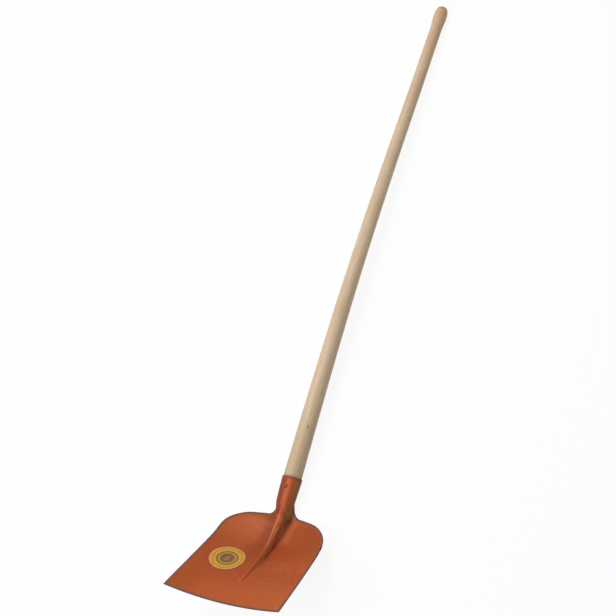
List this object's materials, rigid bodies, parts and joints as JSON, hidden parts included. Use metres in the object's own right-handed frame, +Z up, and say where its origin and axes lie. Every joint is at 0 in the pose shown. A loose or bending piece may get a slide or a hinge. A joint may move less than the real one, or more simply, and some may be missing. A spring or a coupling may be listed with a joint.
{
  "type": "long-handled scoop shovel",
  "caption": "Long-handled scoop shovel: dished pressed-steel blade with a rib and rolled socket on a gently curved ash handle, lying face up.",
  "frame": {"origin": "centre of the bounding box in plan, on the floor that the shovel lies on", "axes": "+Y from the blade to the handle's end, +Z up, X = 0 is the mirror plane of the blade and the handle"},
  "size_m": [0.2738, 1.494, 0.1607],
  "materials": {
    "blade_lacquer": "thin orange-red lacquer, satin, with a worn dark edge",
    "handle_wood": "bare sanded ash, grain along the handle",
    "nail_lacquer": "steel nail under dark red lacquer",
    "label_film": "printed film, plain rings and a leaf"
  },
  "bodies": {
    "root": {"blade": "blade_lacquer", "handle": "handle_wood", "fixing_nail": "nail_lacquer", "label": "label_film"}
  },
  "joints": []
}
